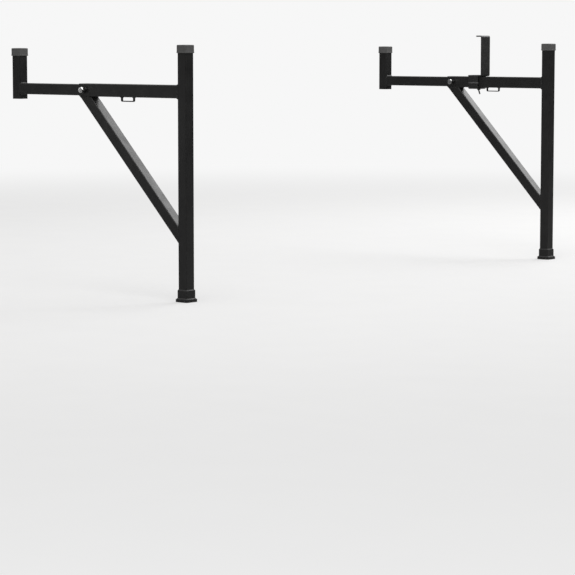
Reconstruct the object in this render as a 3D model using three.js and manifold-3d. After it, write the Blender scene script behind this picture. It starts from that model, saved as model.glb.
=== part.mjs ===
// Ladder rack: two side-mount uprights that drop into the stake pockets of a pickup bed rail.
// Millimetres, +Z up, +Y along the bed rail, -X towards the far side of the bed.
import * as THREE from 'three';
import { mergeVertices } from 'three/addons/utils/BufferGeometryUtils.js';
import Module from 'manifold-3d';

const wasm = await Module();
wasm.setup();

// Square tubes
const POST = 35;
const ARM = 40;
const WALL = 2;
const CORNER = 3.0;
const BORE_CORNER = 1.0;
const FIT_GAP = 0.3;

// Heights above the top of the bed rail
const ARM_HEIGHT = 640;
const POST_TOP = 782;
const END_POST_TOP = 770;
const END_POST_DROP = 33;
const BRACE_FOOT = 180;
const STUB_DEPTH = 100;

// Lengths measured from the post axis
const MOUTH = 444;
const REAR_REACH = 738;
const FRONT_REACH = 757;
const INNER_LENGTH = 428;
const SPACING = 1900;

// Vinyl cap
const CAP = 39.6;
const CAP_HEIGHT = 25;
const CAP_TOP_WALL = 3;
const CAP_LIP = 0.5;
const CAP_EDGE = 1.2;

// Base
const SLEEVE_TOP = 36;
const FLANGE = 48;
const FLANGE_THICK = 6;
const PAD_THICK = 3;

// Lock bolt and its welded nut
const BOLT_INSET = 24;
const BOLT_R = 5;
const NUT_BORE_R = 5.3;
const BOLT_HOLE_R = 6;
const HEX_FLATS = 17;
const HEX_SIDES = 6;
const HEX_CHAMFER = 0.3;
const NUT_THICK = 8;
const HEAD_GAP = 3.6;
const HEAD_THICK = 6.4;
const HEAD_TURN = THREE.MathUtils.degToRad(12);

// Tie-down loop
const LOOP_CENTRE = 246;
const LOOP_WIDTH = 56;
const LOOP_DROP = 14.5;
const LOOP_THICK = 3.2;
const LOOP_STRIP = 8;
const LOOP_BEND = 5;

// Sliding ladder stop
const STOP_CENTRE = 320;
const COLLAR_LENGTH = 44.5;
const COLLAR_BORE = 41.6;
const COLLAR_WALL = 4.76;
const COLLAR_CORNER = 6;
const STRAP_THICK = 4.76;
const STRAP_WIDTH = COLLAR_BORE + 2 * COLLAR_WALL;
const STRAP_BEND = 2;
const STRAP_OVERHANG = 17;
const STRAP_TOP = 811;
const HOOK_REACH = 26;
const SCREW_OFFSET = 8;
const SCREW_R = 4;
const SCREW_HOLE_R = 4.3;
const SCREW_HUB_R = 6.5;
const SCREW_HUB = 3.5;
const HANDLE_R = 2.6;
const HANDLE_LENGTH = 16;
const HANDLE_LEAN = THREE.MathUtils.degToRad(17);

// Facet counts
const ARC_SEGMENTS = 2;
const ROUND_SIDES = 24;
const ROD_SIDES = 12;
const CUT_MARGIN = 1;
const MERGE_DISTANCE = 1e-4;

const ARM_UNDERSIDE = ARM_HEIGHT - ARM / 2;
const POST_FACE = -POST / 2 - FIT_GAP;

// The frame origin is the bottom centre of the bounding box at rest.
const FRAME_X = (FRONT_REACH + CAP / 2 + CAP_LIP - FLANGE / 2) / 2;
const FRAME_Z = STUB_DEPTH;

const coating = { color: 0x1d1e20, roughness: 0.42, metalness: 0.1 };
const zincPlate = { color: 0xc9ccd1, roughness: 0.3, metalness: 1.0 };
const vinyl = { color: 0x3b3c3d, roughness: 0.6, metalness: 0.0 };
const rubber = { color: 0x151515, roughness: 0.85, metalness: 0.0 };

function toSolid(geometry) {
  const bare = geometry.clone();
  bare.deleteAttribute('normal');
  bare.deleteAttribute('uv');
  const merged = mergeVertices(bare, MERGE_DISTANCE);
  const vertProperties = Float32Array.from(merged.getAttribute('position').array);
  const triVerts = Uint32Array.from(merged.index.array);
  return new wasm.Manifold(new wasm.Mesh({ numProp: 3, vertProperties, triVerts }));
}

function toGeometry(solid) {
  const mesh = solid.getMesh();
  const geometry = new THREE.BufferGeometry();
  geometry.setAttribute('position', new THREE.BufferAttribute(Float32Array.from(mesh.vertProperties), 3));
  geometry.setIndex(new THREE.BufferAttribute(Uint32Array.from(mesh.triVerts), 1));
  const flat = geometry.toNonIndexed();
  flat.computeVertexNormals();
  return flat;
}

function join(...pieces) {
  return toGeometry(pieces.map(toSolid).reduce((whole, piece) => whole.add(piece)));
}

function cut(piece, ...tools) {
  return toGeometry(tools.map(toSolid).reduce((rest, tool) => rest.subtract(tool), toSolid(piece)));
}

function common(a, b) {
  return toGeometry(toSolid(a).intersect(toSolid(b)));
}

function tracedSquare(path, half, radius) {
  const inner = half - radius;
  const quarter = Math.PI / 2;
  path.moveTo(half, -inner);
  path.lineTo(half, inner);
  path.absarc(inner, inner, radius, 0, quarter);
  path.lineTo(-inner, half);
  path.absarc(-inner, inner, radius, quarter, 2 * quarter);
  path.lineTo(-half, -inner);
  path.absarc(-inner, -inner, radius, 2 * quarter, 3 * quarter);
  path.lineTo(inner, -half);
  path.absarc(inner, -inner, radius, 3 * quarter, 4 * quarter);
  return path;
}

function extruded(shape, from, to) {
  const settings = { depth: to - from, bevelEnabled: false, curveSegments: ARC_SEGMENTS };
  return new THREE.ExtrudeGeometry(shape, settings).translate(0, 0, from);
}

function squareBar(size, radius, from, to) {
  return extruded(tracedSquare(new THREE.Shape(), size / 2, radius), from, to);
}

function squareTube(size, wall, from, to) {
  const shape = tracedSquare(new THREE.Shape(), size / 2, CORNER);
  shape.holes.push(tracedSquare(new THREE.Path(), size / 2 - wall, BORE_CORNER));
  return extruded(shape, from, to);
}

function block(lowest, highest) {
  const size = highest.map((value, i) => value - lowest[i]);
  const centre = highest.map((value, i) => (value + lowest[i]) / 2);
  return new THREE.BoxGeometry(...size).translate(...centre);
}

// Round or many-sided bar along +Z; the radius may differ at its far end.
function roundBar(radius, from, to, sides = ROUND_SIDES, endRadius = radius) {
  const bar = new THREE.CylinderGeometry(endRadius, radius, to - from, sides).rotateX(Math.PI / 2);
  return bar.translate(0, 0, (from + to) / 2);
}

// Hexagonal bar along +Z with the corners broken at its far end.
function hexBar(from, to) {
  const flat = HEX_FLATS / 2 - HEX_CHAMFER;
  const flare = (to - from) * Math.sqrt(3);
  const prism = roundBar(HEX_FLATS / Math.sqrt(3), from, to, HEX_SIDES);
  return common(prism, roundBar(flat + flare, from, to, ROUND_SIDES, flat));
}

// Turns a bar drawn along +Z so that it runs along +X.
function alongX(geometry) {
  return geometry.rotateY(Math.PI / 2);
}

// Turns a fastener drawn along +Z so that it points to -Y.
function towardsMinusY(geometry) {
  return geometry.rotateX(Math.PI / 2);
}

function post() {
  return squareTube(POST, WALL, -STUB_DEPTH, POST_TOP - CAP_TOP_WALL - FIT_GAP);
}

// A vinyl cap with its top at the given height, open at the bottom, with a slightly fuller lip.
function cap(top) {
  const bottom = top - CAP_HEIGHT;
  const lip = squareBar(CAP + 2 * CAP_LIP, CORNER + CAP_LIP, bottom + CAP_EDGE / 2, bottom + 3 * CAP_EDGE);
  const body = squareBar(CAP, CORNER, bottom, top - CAP_EDGE / 2);
  const crown = squareBar(CAP - CAP_EDGE, CORNER, top - CAP_EDGE, top);
  const pocket = squareBar(POST + 2 * FIT_GAP, CORNER, bottom - CUT_MARGIN, top - CAP_TOP_WALL);
  return cut(join(lip, body, crown), pocket);
}

function outerArm() {
  const tube = alongX(squareTube(ARM, WALL, -MOUTH, POST_FACE));
  const hole = towardsMinusY(roundBar(BOLT_HOLE_R, ARM / 4, ARM)).translate(BOLT_INSET - MOUTH, 0, 0);
  return cut(tube, hole).translate(0, 0, ARM_HEIGHT);
}

// Square tube whose outer edge runs from the arm mouth to the post, cut to both of them.
function brace() {
  const run = MOUTH - POST / 2;
  const fall = ARM_UNDERSIDE - BRACE_FOOT;
  const span = Math.hypot(run, fall);
  const middleX = (-MOUTH - POST / 2 + (fall * POST) / span) / 2;
  const middleZ = (ARM_UNDERSIDE + BRACE_FOOT + (run * POST) / span) / 2;
  const tube = squareTube(POST, WALL, -span / 2 - POST, span / 2 + POST);
  tube.rotateY(Math.atan2(run, -fall)).translate(middleX, 0, middleZ);
  const reach = 2 * span;
  const aboveArm = block([-reach, -POST, ARM_UNDERSIDE - FIT_GAP], [reach, POST, reach]);
  const insidePost = block([POST_FACE, -POST, 0], [reach, POST, reach]);
  return cut(tube, aboveArm, insidePost);
}

// Outline of a strip bent into a U that is open at the top, between its two rims.
function channelOutline(half, thickness, bottom, rim, outerBend, innerBend) {
  const quarter = Math.PI / 2;
  const inside = half - thickness;
  const outer = half - outerBend;
  const inner = inside - innerBend;
  const outline = new THREE.Shape();
  outline.moveTo(-half, rim);
  outline.lineTo(-half, bottom + outerBend);
  outline.absarc(-outer, bottom + outerBend, outerBend, 2 * quarter, 3 * quarter);
  outline.lineTo(outer, bottom);
  outline.absarc(outer, bottom + outerBend, outerBend, 3 * quarter, 4 * quarter);
  outline.lineTo(half, rim);
  outline.lineTo(inside, rim);
  outline.lineTo(inside, bottom + thickness + innerBend);
  outline.absarc(inner, bottom + thickness + innerBend, innerBend, 0, -quarter, true);
  outline.lineTo(-inner, bottom + thickness);
  outline.absarc(-inner, bottom + thickness + innerBend, innerBend, -quarter, -2 * quarter, true);
  outline.lineTo(-inside, rim);
  return outline;
}

// Flat strip bent into a shallow loop under the arm.
function tieLoop() {
  const bottom = ARM_UNDERSIDE - LOOP_DROP;
  const rim = ARM_UNDERSIDE - FIT_GAP;
  const outline = channelOutline(LOOP_WIDTH / 2, LOOP_THICK, bottom, rim, LOOP_BEND, LOOP_BEND - LOOP_THICK);
  const loop = extruded(outline, -LOOP_STRIP / 2, LOOP_STRIP / 2).rotateX(Math.PI / 2);
  return loop.translate(-LOOP_CENTRE, 0, 0);
}

// Hex nut welded over the hole in the outer arm, centred on the bolt's axis.
function lockNut() {
  const seat = ARM / 2 + FIT_GAP;
  const bore = roundBar(NUT_BORE_R, seat - CUT_MARGIN, seat + NUT_THICK + CUT_MARGIN);
  return towardsMinusY(cut(hexBar(seat, seat + NUT_THICK), bore));
}

// Hex bolt whose tip bears on the inner arm.
function lockBolt() {
  const tip = POST / 2 + FIT_GAP;
  const seat = ARM / 2 + NUT_THICK + HEAD_GAP;
  const bolt = join(hexBar(seat, seat + HEAD_THICK), roundBar(BOLT_R, tip, seat + CUT_MARGIN));
  return towardsMinusY(bolt.rotateZ(HEAD_TURN));
}

function baseSleeve() {
  return squareTube(ARM, WALL, -STUB_DEPTH, SLEEVE_TOP);
}

function basePlate(from, to) {
  const hole = squareBar(ARM + 2 * FIT_GAP, CORNER, from - CUT_MARGIN, to + CUT_MARGIN);
  return cut(squareBar(FLANGE, CORNER, from, to), hole);
}

// The sliding arm's pieces are drawn from the end post's axis.
function innerArm() {
  const start = POST / 2 + FIT_GAP;
  return alongX(squareTube(POST, WALL, start, start + INNER_LENGTH)).translate(0, 0, ARM_HEIGHT);
}

function endPost() {
  return squareTube(POST, WALL, ARM_HEIGHT - END_POST_DROP, END_POST_TOP - CAP_TOP_WALL - FIT_GAP);
}

// The ladder stop's pieces are drawn from the middle of its collar.
// Channel open at the top, where the strap's foot closes it.
function stopCollar() {
  const inside = COLLAR_BORE / 2;
  const outside = inside + COLLAR_WALL;
  const rim = inside - FIT_GAP;
  const outline = channelOutline(outside, COLLAR_WALL, -outside, rim, COLLAR_CORNER, BORE_CORNER);
  const channel = extruded(outline, -COLLAR_LENGTH / 2, COLLAR_LENGTH / 2);
  const [x, y, z] = [new THREE.Vector3(1, 0, 0), new THREE.Vector3(0, 1, 0), new THREE.Vector3(0, 0, 1)];
  channel.applyMatrix4(new THREE.Matrix4().makeBasis(y, z, x));
  return cut(channel, roundBar(SCREW_HOLE_R, -outside - CUT_MARGIN, 0).translate(SCREW_OFFSET, 0, 0));
}

// Bent flat bar: a foot that closes the collar, an upright leg, and a hook turned back over the ladder.
function stopStrap() {
  const foot = COLLAR_BORE / 2;
  const top = STRAP_TOP - ARM_HEIGHT;
  const start = -COLLAR_LENGTH / 2;
  const face = COLLAR_LENGTH / 2 + STRAP_OVERHANG;
  const hook = face - HOOK_REACH;
  const outer = STRAP_THICK + STRAP_BEND;
  const quarter = Math.PI / 2;
  const profile = new THREE.Shape();
  profile.moveTo(start, foot);
  profile.lineTo(face - outer, foot);
  profile.absarc(face - outer, foot + outer, outer, -quarter, 0);
  profile.lineTo(face, top - outer);
  profile.absarc(face - outer, top - outer, outer, 0, quarter);
  profile.lineTo(hook, top);
  profile.lineTo(hook, top - STRAP_THICK);
  profile.lineTo(face - outer, top - STRAP_THICK);
  profile.absarc(face - outer, top - outer, STRAP_BEND, quarter, 0, true);
  profile.lineTo(face - STRAP_THICK, foot + outer);
  profile.absarc(face - outer, foot + outer, STRAP_BEND, 0, -quarter, true);
  profile.lineTo(start, foot + STRAP_THICK);
  return extruded(profile, -STRAP_WIDTH / 2, STRAP_WIDTH / 2).rotateX(Math.PI / 2);
}

// Clamp screw up through the collar, with a hub and a leaning rod for a handle.
function stopScrew() {
  const hubTop = -COLLAR_BORE / 2 - COLLAR_WALL - FIT_GAP;
  const hubBottom = hubTop - SCREW_HUB;
  const shank = roundBar(SCREW_R, hubTop - CUT_MARGIN, -ARM / 2 - FIT_GAP);
  const hub = roundBar(SCREW_HUB_R, hubBottom, hubTop);
  const rod = roundBar(HANDLE_R, -HANDLE_LENGTH, 0, ROD_SIDES);
  const knob = new THREE.SphereGeometry(HANDLE_R, ROD_SIDES, ROD_SIDES / 2).rotateX(Math.PI / 2);
  const handle = join(rod, knob.translate(0, 0, -HANDLE_LENGTH));
  handle.rotateY(-HANDLE_LEAN).translate(0, 0, hubBottom + SCREW_HUB / 2);
  return join(shank, hub, handle).translate(SCREW_OFFSET, 0, 0);
}

function piece(name, geometry, look) {
  const mesh = new THREE.Mesh(geometry, new THREE.MeshStandardMaterial(look));
  mesh.name = name;
  return mesh;
}

function placed(position, ...members) {
  const group = new THREE.Group();
  group.position.set(...position);
  group.add(...members);
  return group;
}

function slidingArm(side, reach) {
  return placed(
    [-reach, 0, 0],
    piece(`${side}_inner_arm`, innerArm(), coating),
    piece(`${side}_end_post`, endPost(), coating),
    piece(`${side}_end_cap`, cap(END_POST_TOP), vinyl),
  );
}

function armLock(side) {
  return placed(
    [BOLT_INSET - MOUTH, 0, ARM_HEIGHT],
    piece(`${side}_lock_nut`, lockNut(), coating),
    piece(`${side}_lock_bolt`, lockBolt(), zincPlate),
  );
}

function base(side) {
  const flangeFrom = PAD_THICK + FIT_GAP;
  return placed(
    [0, 0, 0],
    piece(`${side}_base_sleeve`, baseSleeve(), coating),
    piece(`${side}_base_flange`, basePlate(flangeFrom, flangeFrom + FLANGE_THICK), coating),
    piece(`${side}_rail_pad`, basePlate(0, PAD_THICK), rubber),
  );
}

function ladderStop() {
  return placed(
    [-STOP_CENTRE, 0, ARM_HEIGHT],
    piece('stop_collar', stopCollar(), coating),
    piece('stop_strap', stopStrap(), coating),
    piece('stop_screw', stopScrew(), coating),
  );
}

function upright(side, reach) {
  return [
    piece(`${side}_post`, post(), coating),
    piece(`${side}_post_cap`, cap(POST_TOP), vinyl),
    piece(`${side}_outer_arm`, outerArm(), coating),
    piece(`${side}_brace`, brace(), coating),
    piece(`${side}_tie_loop`, tieLoop(), coating),
    base(side),
    armLock(side),
    slidingArm(side, reach),
  ];
}

const rack = new THREE.Group();
rack.name = 'ladder_rack';
rack.add(placed([FRAME_X, -SPACING / 2, FRAME_Z], ...upright('rear', REAR_REACH)));
rack.add(placed([FRAME_X, SPACING / 2, FRAME_Z], ...upright('front', FRONT_REACH), ladderStop()));

export default rack;
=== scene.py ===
"""Looks of the ladder rack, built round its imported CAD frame. Metres, in the CAD frame's axes."""
import math
import random

import bmesh
import bpy
from mathutils import Matrix, Vector


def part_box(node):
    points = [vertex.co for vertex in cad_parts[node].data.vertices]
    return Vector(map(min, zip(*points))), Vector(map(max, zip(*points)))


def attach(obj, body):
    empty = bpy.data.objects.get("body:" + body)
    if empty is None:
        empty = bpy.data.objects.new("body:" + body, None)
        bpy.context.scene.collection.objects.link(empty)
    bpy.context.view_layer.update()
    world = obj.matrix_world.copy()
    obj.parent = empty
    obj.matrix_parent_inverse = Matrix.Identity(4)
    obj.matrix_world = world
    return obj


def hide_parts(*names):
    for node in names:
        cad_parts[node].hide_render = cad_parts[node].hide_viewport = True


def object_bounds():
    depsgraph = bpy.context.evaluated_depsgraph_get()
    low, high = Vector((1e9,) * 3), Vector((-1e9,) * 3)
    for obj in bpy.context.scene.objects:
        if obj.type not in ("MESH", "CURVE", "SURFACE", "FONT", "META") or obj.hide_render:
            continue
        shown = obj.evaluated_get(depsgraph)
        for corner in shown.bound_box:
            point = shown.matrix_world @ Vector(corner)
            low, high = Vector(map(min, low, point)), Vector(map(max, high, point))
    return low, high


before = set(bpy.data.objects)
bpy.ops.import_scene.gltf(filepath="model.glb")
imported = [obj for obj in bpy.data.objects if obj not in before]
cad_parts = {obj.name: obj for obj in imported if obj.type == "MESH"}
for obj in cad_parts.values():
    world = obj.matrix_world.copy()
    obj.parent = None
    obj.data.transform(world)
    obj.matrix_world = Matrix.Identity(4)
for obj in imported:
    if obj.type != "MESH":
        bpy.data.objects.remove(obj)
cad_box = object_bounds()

MM = 0.001
X = Vector((1, 0, 0))
Y = Vector((0, 1, 0))
Z = Vector((0, 0, 1))
QUARTER = math.pi / 2
FULL = 2 * math.pi

# Square tubes and plates
WALL = 2.0 * MM
CORNER = 3.0 * MM
BORE_CORNER = 0.9 * MM
EDGE = 0.35 * MM
FIT_GAP = 0.3 * MM
CORNER_STEPS = 6
EDGE_STEPS = 3
RIM = 4.0 * MM
# A tube's wall is first outlined with this half length, and then moved to the tube's real ends
FAR = 1.0

# Vinyl caps
CAP_WALL = 2.0 * MM
CAP_TOP_WALL = 3.0 * MM
CAP_LIP = 0.5 * MM
CAP_CORNER = 4.2 * MM
CAP_CROWN = 2.4 * MM
CAP_DOME = 0.45 * MM
# Millimetres out from the pocket's side, or from the lip's fullest line, and up from the cap's bottom
CAP_MOUTH = ((0, 0.8), (0.4, 0.2), (1.0, 0))
CAP_BEAD = ((-0.5, 0.15), (-0.1, 0.8), (0, 1.8), (-0.1, 3.0), (-0.4, 4.2), (-0.5, 6.0))
# Shares of the way out to the shoulder
CAP_TOP_SHARES = (0.75, 0.5, 0.25, 0.04)

# Hex nut and bolt
FLATS = 17 * MM
BOLT_R = 5 * MM
BOLT_BORE_R = 5.3 * MM
BOLT_HOLE_R = 6 * MM
HEAD_THICK = 6.4 * MM
HEAD_TURN = math.radians(12)
CHAMFER_R = 8.0 * MM
CHAMFER_SLOPE = math.tan(math.radians(30))
WASHER_R = 7.9 * MM
WASHER_STEP = 0.4 * MM
HEAD_DISH = 0.25 * MM
HEAD_DISH_RIM = 0.7
HEAD_DISH_FLOOR = 0.6
NECK_FLARE = 0.2 * MM
BOLT_POINT = 1.0 * MM
NUT_SINK = 0.5 * MM
PITCH = 1.5 * MM
THREAD_DEPTH = 0.75 * MM
THREAD_RINGS = 6
THREAD_STEEPNESS = 1.4
THREAD_CREST = 0.1
ROUND = 72

# Bent bars and rods; a bend is the radius of its inside
LOOP_THICK = 3.2 * MM
LOOP_BEND = 1.8 * MM
BAR_EDGE = 0.8 * MM
COLLAR_WALL = 4.76 * MM
COLLAR_BEND = 1.8 * MM
STRAP_THICK = 4.76 * MM
STRAP_BEND = 2 * MM
HOOK_REACH = 26 * MM
BEND_STEPS = 8
ROD_SIDES = 24
SCREW_OFFSET = 8 * MM
SCREW_HOLE_R = 4.3 * MM
SCREW_R = 4 * MM
HUB_R = 6.5 * MM
HUB_HEIGHT = 3.5 * MM
HANDLE_R = 2.6 * MM
HANDLE_BEND = 3.4 * MM
HANDLE_LEAN = math.radians(17)
SCREW_POINT = 0.8 * MM
HUB_TOP_ROUND = 0.4 * MM
HUB_FOOT_ROUND = 0.8 * MM
HUB_FOOT_LIFT = 0.2 * MM

# How far a skin turns at a vertex before it counts as an edge, and as a sharp one
EDGE_LAYER = "edge"
SOFT_TURN = math.radians(9)
SHARP_TURN = math.radians(24)

# Weld beads
BEAD_STEP = 0.4 * MM
BEAD_SIDES = 8
BEAD_PERIOD = 2.5 * MM
BEAD_CHEVRON = 1.1 * MM
BEAD_RIPPLE = 0.2
TACK_RIPPLE = 0.07
BEAD_SINK = 0.12
BEAD_TAPER = 1.5 * MM
BEAD_TIP = 0.02
BEAD_SWELL = 0.07

# Legs of each bead: along its first and its second face
ARM_LEGS = (3.4 * MM, 3.6 * MM)
BRACE_INNER_LEGS = (5.0 * MM, 5.0 * MM)
BRACE_OUTER_LEGS = (3.0 * MM, 3.0 * MM)
BRACE_SIDE_LEGS = (2.4 * MM, 3.6 * MM)
SEAM_LEGS = (3.0 * MM, 1.6 * MM)
END_LEGS = (3.8 * MM, 3.6 * MM)
SLEEVE_RIM_LEGS = (2.8 * MM, 3.2 * MM)
FLANGE_LEGS = (3.4 * MM, 3.4 * MM)
LOOP_LEGS = (2.6 * MM, 2.6 * MM)
TACK_LEGS = (2.6 * MM, 3.0 * MM)
STRAP_LEGS = (2.4 * MM, 1.05 * MM)

# How far beads lie in from an edge, and the other places that they need
SEAM_INSET = 0.5 * MM
STRAP_INSET = 1.15 * MM
ARM_INSET = 0.3 * MM
ARM_TURN = 2.5 * MM
RIM_SINK = 0.3 * MM
TACK_REACH = 3.4 * MM
SEED = 11


# ---------------------------------------------------------------- shapes

class Axes:
    """A sub-part's own directions: a and b across it, and the third along it."""

    def __init__(self, origin, a, b):
        self.origin = Vector(origin)
        self.a = a
        self.b = b
        self.along = a.cross(b)

    def point(self, a, b, along):
        return self.origin + a * self.a + b * self.b + along * self.along


def rounded_rectangle(half_a, half_b, radius, steps):
    """Outline of a rectangle with round corners, as (a, b) pairs, anticlockwise."""
    outline = []
    for quarter, (sign_a, sign_b) in enumerate(((1, 1), (-1, 1), (-1, -1), (1, -1))):
        for i in range(steps + 1):
            turn = QUARTER * (quarter + i / steps)
            a = sign_a * (half_a - radius) + radius * math.cos(turn)
            b = sign_b * (half_b - radius) + radius * math.sin(turn)
            outline.append((a, b))
    return outline


def lofted(loops, cyclic=False):
    """Closed skin through loops of equal length; a cyclic one joins its last loop to its first."""
    shell = bmesh.new()
    rings = [[shell.verts.new(point) for point in loop] for loop in loops]
    pairs = list(zip(rings, rings[1:]))
    if cyclic:
        pairs.append((rings[-1], rings[0]))
    else:
        shell.faces.new(rings[0])
        shell.faces.new(rings[-1])
    for near, far in pairs:
        for i in range(len(near)):
            j = (i + 1) % len(near)
            shell.faces.new((near[i], near[j], far[j], far[i]))
    bmesh.ops.recalc_face_normals(shell, faces=shell.faces)
    return shell


def wall_section(wall, rim):
    """Lengthways outline of a tube's wall: round rims, and a loop at rim distance from each end."""
    section = rounded_rectangle(wall / 2, FAR, EDGE, EDGE_STEPS)
    if rim == 0:
        return section
    half = len(section) // 2
    inner = [(-wall / 2, FAR - rim), (-wall / 2, rim - FAR)]
    outer = [(wall / 2, rim - FAR), (wall / 2, FAR - rim)]
    return section[:half] + inner + section[half:] + outer


def square_tube(axes, size, wall, ends, bore_corner=BORE_CORNER, rim=RIM):
    """Tube with round corners and rims. ends(a, b) gives where it starts and stops along its axis."""
    loops = []
    for inward, lengthways in wall_section(wall, rim):
        inset = wall / 2 - inward
        margin = FAR - abs(lengthways)
        half = size / 2 - inset
        radius = CORNER + (bore_corner - CORNER) * inset / wall
        loop = []
        for a, b in rounded_rectangle(half, half, radius, CORNER_STEPS):
            start, stop = ends(a, b)
            along = stop - margin if lengthways > 0 else start + margin
            loop.append(axes.point(a, b, along))
        loops.append(loop)
    return lofted(loops, cyclic=True)


def bent_path(corners, radius, steps=BEND_STEPS):
    """(point, tangent) stations along straight runs joined by arcs of the given radius."""
    stations = [(corners[0], (corners[1] - corners[0]).normalized())]
    for before, corner, after in zip(corners, corners[1:], corners[2:]):
        arrive = (corner - before).normalized()
        leave = (after - corner).normalized()
        turn = arrive.angle(leave)
        axis = arrive.cross(leave).normalized()
        start = corner - arrive * radius * math.tan(turn / 2)
        centre = start + axis.cross(arrive) * radius
        for i in range(steps + 1):
            spin = Matrix.Rotation(turn * i / steps, 3, axis)
            stations.append((centre + spin @ (start - centre), spin @ arrive))
    stations.append((corners[-1], (corners[-1] - corners[-2]).normalized()))
    return stations


def swept(stations, width_direction, outline_at):
    """Skin swept along stations; outline_at(i) gives station i's outline as (across, through) pairs."""
    loops = []
    for i, (point, tangent) in enumerate(stations):
        through = tangent.cross(width_direction)
        loops.append([point + a * width_direction + b * through for a, b in outline_at(i)])
    return lofted(loops)


def with_round_ends(stations, edge):
    """Repeats the first and last station so that the ends can be rounded; also gives each one's inset."""
    (first, out), (last, on) = stations[0], stations[-1]
    steps = [QUARTER * i / EDGE_STEPS for i in range(EDGE_STEPS + 1)]
    opening = [(first + out * edge * (1 - math.cos(t)), out) for t in steps]
    closing = [(last - on * edge * (1 - math.cos(t)), on) for t in reversed(steps)]
    insets = [edge * (1 - math.sin(t)) for t in steps]
    between = stations[1:-1]
    return opening + between + closing, insets + [0] * len(between) + insets[::-1]


def flat_bar(corners, bend, width_direction, width, thickness):
    """Flat bar with round edges, bent at each corner of its middle line."""
    stations = bent_path(corners, bend + thickness / 2)
    path, insets = with_round_ends(stations, BAR_EDGE / 2)

    def outline(i):
        inset = insets[i]
        return rounded_rectangle(width / 2 - inset, thickness / 2 - inset, BAR_EDGE, EDGE_STEPS)

    return swept(path, width_direction, outline)


def circle(radius, sides):
    return [(radius * math.cos(FULL * i / sides), radius * math.sin(FULL * i / sides)) for i in range(sides)]


# ---------------------------------------------------------------- weld beads

def straight_run(start, end, a, b):
    """Evenly spaced (corner, a, b) samples of a straight weld."""
    count = max(2, round((end - start).length / BEAD_STEP))
    return [(start.lerp(end, i / count), a, b) for i in range(count + 1)]


def outline_walk(half_a, half_b, radius):
    """Evenly spaced (a, b, turn) round a rounded rectangle; turn is the way its side faces there."""
    walk = []
    for quarter, (sign_a, sign_b) in enumerate(((1, 1), (-1, 1), (-1, -1), (1, -1))):
        a = sign_a * (half_a - radius)
        b = sign_b * (half_b - radius)
        arc_count = max(3, round(QUARTER * radius / BEAD_STEP))
        for i in range(arc_count):
            turn = QUARTER * (quarter + i / arc_count)
            walk.append((a + radius * math.cos(turn), b + radius * math.sin(turn), turn))
        turn = QUARTER * (quarter + 1)
        straight = 2 * ((half_a if quarter % 2 == 0 else half_b) - radius)
        count = round(straight / BEAD_STEP)
        for i in range(count):
            gone = straight * i / count
            walk.append((a + radius * math.cos(turn) - gone * math.sin(turn),
                         b + radius * math.sin(turn) + gone * math.cos(turn), turn))
    return walk


def ring_run(axes, half_a, half_b, radius, along):
    """Samples of a weld round a rounded rectangle that stands on a flat face."""
    run = []
    for a, b, turn in outline_walk(half_a, half_b, radius):
        out = math.cos(turn) * axes.a + math.sin(turn) * axes.b
        run.append((axes.point(a, b, along), out, axes.along))
    return run


def wrap_run(axes, half_a, half_b, radius):
    """Samples of a weld round a butt joint. Where the joint faces b, its two legs lie back along the thinner
    member and out over the wider one; where it faces a, they have rolled by a quarter turn."""
    run = []
    for a, b, turn in outline_walk(half_a, half_b, radius):
        out = math.cos(turn) * axes.a + math.sin(turn) * axes.b
        roll = math.atan2(abs(math.cos(turn)), abs(math.sin(turn)))
        first = math.sin(roll) * out - math.cos(roll) * axes.along
        second = math.cos(roll) * out + math.sin(roll) * axes.along
        run.append((axes.point(a, b, 0), first, second))
    return run


def fillet_outline():
    """Unit crown of a weld in an inside corner, between a flat and a round face."""
    crown = []
    for i in range(BEAD_SIDES + 1):
        turn = QUARTER * i / BEAD_SIDES
        chord = 1 / (math.cos(turn) + math.sin(turn))
        reach = (1 + chord) / 2
        crown.append((reach * math.cos(turn), reach * math.sin(turn)))
    return crown, [(-BEAD_SINK, 1), (-BEAD_SINK, -BEAD_SINK), (1, -BEAD_SINK)]


def seam_outline():
    """Unit crown of a low weld over a flush joint."""
    turns = [math.pi * i / BEAD_SIDES for i in range(BEAD_SIDES + 1)]
    return [(math.cos(t), math.sin(t)) for t in turns], [(-1, -BEAD_SINK), (1, -BEAD_SINK)]


def bead(run, legs, dice, outline=fillet_outline, closed=False, ripple=BEAD_RIPPLE):
    """Rippled weld bead along a run: overlapping round scallops that lean forward."""
    leg_a, leg_b = legs
    crown, feet = outline()
    length = BEAD_STEP * (len(run) - (0 if closed else 1))
    count = max(2, round(length / BEAD_PERIOD))
    period = length / count
    swell = [1 + dice.uniform(-BEAD_SWELL, BEAD_SWELL) for _ in range(count)]
    loops = []
    for i, (corner, a, b) in enumerate(run):
        place = i * BEAD_STEP
        nearest = min(place, length - place)
        taper = 1.0
        if not closed and nearest < BEAD_TAPER:
            taper = math.sqrt(max(BEAD_TIP, 1 - (1 - nearest / BEAD_TAPER) ** 2))
        loop = []
        for j, (p, q) in enumerate(crown):
            lead = place + BEAD_CHEVRON * math.sin(math.pi * j / BEAD_SIDES)
            cell = lead / period
            across = 2 * (cell % 1) - 1
            scallop = 1 - ripple * (1 - math.sqrt(max(0.0, 1 - across * across)))
            size = taper * scallop * swell[int(cell) % count]
            loop.append(corner + a * (p * leg_a * size) + b * (q * leg_b * size))
        for p, q in feet:
            loop.append(corner + a * (p * leg_a * taper) + b * (q * leg_b * taper))
        loops.append(loop)
    return lofted(loops, cyclic=closed)


def joined(shells):
    """One mesh that holds several closed skins."""
    whole = bmesh.new()
    for shell in shells:
        spare = bpy.data.meshes.new("spare")
        shell.to_mesh(spare)
        whole.from_mesh(spare)
        shell.free()
        bpy.data.meshes.remove(spare)
    return whole


# ---------------------------------------------------------------- objects

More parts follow.
